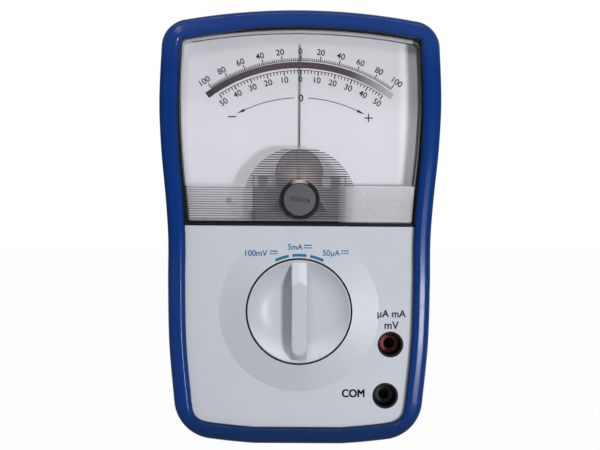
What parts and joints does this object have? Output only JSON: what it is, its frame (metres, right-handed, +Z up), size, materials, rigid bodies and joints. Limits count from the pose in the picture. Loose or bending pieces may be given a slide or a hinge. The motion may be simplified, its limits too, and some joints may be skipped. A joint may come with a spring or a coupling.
{
  "type": "galvanometer",
  "caption": "Hand-held zero-centre moving-coil meter in a rubber holster, with a range knob, shrouded sockets, a zero adjuster and a fold-out stand.",
  "frame": {"origin": "under the middle of the foot, halfway through the depth", "axes": "+X to the right as seen facing the dial, the face towards -Y, +Z up the face"},
  "size_m": [0.0978, 0.05, 0.15],
  "materials": {
    "holster_rubber": "satin moulded",
    "panel_plastic": "fine grain",
    "black_plastic": "fine grain",
    "clear_plastic": "clear, ribbed low in its middle",
    "adjuster_grey": "smooth",
    "dial_white": "matt, printed",
    "mirror": "polished",
    "steel": "bright zinc",
    "magnet": "ground",
    "aluminium": "matt",
    "pointer_black": "black lacquer",
    "brass": "plain",
    "copper": "enamelled wire or copper",
    "red_plastic": "moulded",
    "board_green": "solder mask",
    "fuse_glass": "clear",
    "resistor_body": "lacquered"
  },
  "bodies": {
    "housing": {"holster": "holster_rubber", "front_case": "panel_plastic", "rear_case": "panel_plastic", "window_frame": "black_plastic", "adjuster_bush": "black_plastic", "movement_yoke": "black_plastic", "plus_socket_liner": "black_plastic", "com_socket_liner": "black_plastic", "com_socket_insulator": "black_plastic", "window": "clear_plastic", "dial_plate": "dial_white", "mirror_strip": "mirror", "case_screw_1": "steel", "case_screw_2": "steel", "case_screw_3": "steel", "case_screw_4": "steel", "dial_screw_1": "steel", "dial_screw_2": "steel", "movement_screw_1": "steel", "movement_screw_2": "steel", "detent_spring": "steel", "fuse_clip_1": "steel", "fuse_clip_2": "steel", "core_magnet": "magnet", "core_bridge": "brass", "front_hairspring": "brass", "rear_hairspring": "brass", "front_bridge": "brass", "rear_bridge": "brass", "front_jewel_screw": "brass", "rear_jewel_screw": "brass", "plus_socket_contact": "brass", "com_socket_contact": "brass", "plus_socket_insulator": "red_plastic", "circuit_board": "board_green", "fuse": "fuse_glass", "resistor_1": "resistor_body", "resistor_2": "resistor_body", "resistor_3": "resistor_body"},
    "range_switch": {"range_knob": "panel_plastic", "switch_rotor": "black_plastic", "switch_wiper": "copper"},
    "moving_coil": {"coil_former": "aluminium", "coil_winding": "copper", "pointer": "pointer_black"},
    "zero_screw": {"zero_adjuster": "adjuster_grey"},
    "zero_arm": {"zero_lever": "brass"},
    "stand": {"tilt_stand": "black_plastic"}
  },
  "joints": [
    {"name": "range_select", "type": "hinge", "parent": "housing", "child": "range_switch", "pos_m": [0, -0.0184, 0.0457], "axis": [0, -1, 0], "range_deg": [-18, 18]},
    {"name": "pointer_deflect", "type": "hinge", "parent": "housing", "child": "moving_coil", "pos_m": [0, -0.0094, 0.0778], "axis": [0, -1, 0], "range_deg": [-38, 38], "stiffness_Nm_per_rad": 0.0002},
    {"name": "zero_adjust", "type": "hinge", "parent": "housing", "child": "zero_screw", "pos_m": [0, -0.018, 0.0844], "axis": [0, -1, 0], "range_deg": [-30, 30]},
    {"name": "zero_lever_turn", "type": "hinge", "parent": "housing", "child": "zero_arm", "pos_m": [0, -0.0118, 0.0778], "axis": [0, -1, 0], "range_deg": [-4.6, 4.6]},
    {"name": "stand_tilt", "type": "hinge", "parent": "housing", "child": "stand", "pos_m": [0, 0.0237, 0.0849], "axis": [1, 0, 0], "range_deg": [0, 60]}
  ],
  "couplings": [
    {"joint": "zero_lever_turn", "follows": "zero_adjust", "ratio": 0.14286}
  ]
}
